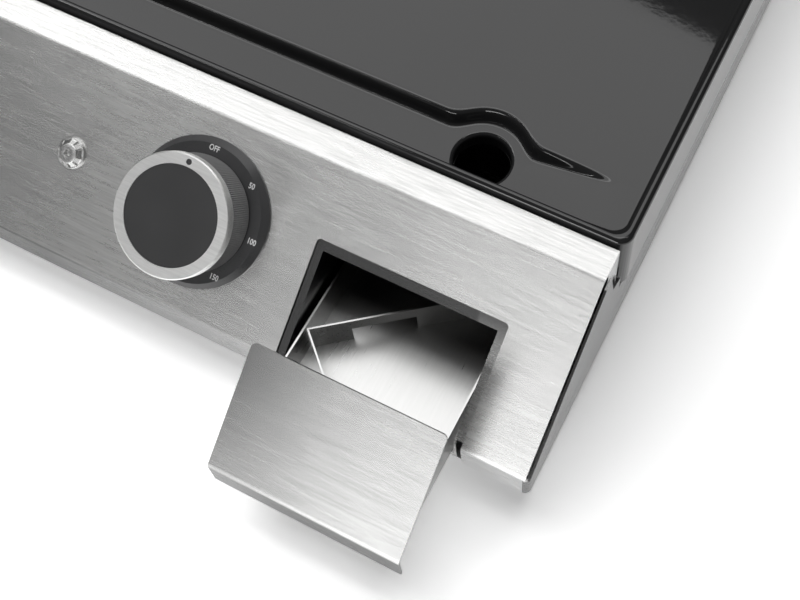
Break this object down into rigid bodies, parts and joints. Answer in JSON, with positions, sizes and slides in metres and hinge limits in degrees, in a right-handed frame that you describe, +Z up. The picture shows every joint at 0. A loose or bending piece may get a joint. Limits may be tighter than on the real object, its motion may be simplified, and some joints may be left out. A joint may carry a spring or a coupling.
{
  "type": "electric plancha",
  "caption": "Countertop electric plancha with an enamelled griddle plate, stainless body, thermostat knob, lamp and a pull-out grease drawer.",
  "frame": {"origin": "on the floor under the middle of the whole part, with the drawer drawn part way out", "axes": "+X to the right seen from the front, +Y to the back, +Z up"},
  "size_m": [0.4446, 0.5464, 0.0919],
  "materials": {
    "enamel": "gloss",
    "stainless": "brushed",
    "sheet_steel": "satin",
    "zinc": "satin",
    "sheath": "matt",
    "dial_black": "satin",
    "knob_black": "satin",
    "ring_alu": "brushed",
    "lens_clear": "gloss",
    "white_nylon": "satin",
    "gland_black": "satin",
    "rubber": "matt",
    "porcelain": "satin"
  },
  "bodies": {
    "housing": {"cooking_plate": "enamel", "drain_spout": "stainless", "front_fascia": "stainless", "drawer_sleeve": "sheet_steel", "left_cheek": "stainless", "right_cheek": "stainless", "rear_panel": "stainless", "base_plate": "sheet_steel", "heating_element": "sheath", "clamp_bars": "zinc", "plate_studs": "zinc", "stud_nuts": "zinc", "heat_shield": "sheet_steel", "thermostat_body": "porcelain", "thermostat_screws": "zinc", "capillary_sensor": "zinc", "dial_bezel": "dial_black", "lamp_lens": "lens_clear", "lamp_body": "white_nylon", "lamp_clip": "zinc", "terminal_block": "porcelain", "gland_body": "gland_black", "gland_locknut": "gland_black", "gland_cap": "gland_black", "gland_seal": "rubber", "foot_front_left": "rubber", "foot_front_right": "rubber", "foot_rear_left": "rubber", "foot_rear_right": "rubber", "foot_screws": "zinc", "foot_nuts": "zinc", "base_screws": "zinc"},
    "knob": {"knob_body": "knob_black", "knob_ring": "ring_alu", "knob_disc": "knob_black", "knob_pointer": "knob_black", "thermostat_shaft": "zinc"},
    "drawer": {"drawer_front": "stainless", "drawer_tray": "stainless", "splash_baffle": "stainless"}
  },
  "joints": [
    {"name": "knob_turn", "type": "hinge", "parent": "housing", "child": "knob", "pos_m": [0.0606, -0.19286, 0.05972], "axis": [0, 0.5878, -0.809], "range_deg": [0, 285]},
    {"name": "drawer_slide", "type": "slide", "parent": "housing", "child": "drawer", "axis": [0, -1, 0], "range_m": [-0.0468, 0.048]}
  ]
}
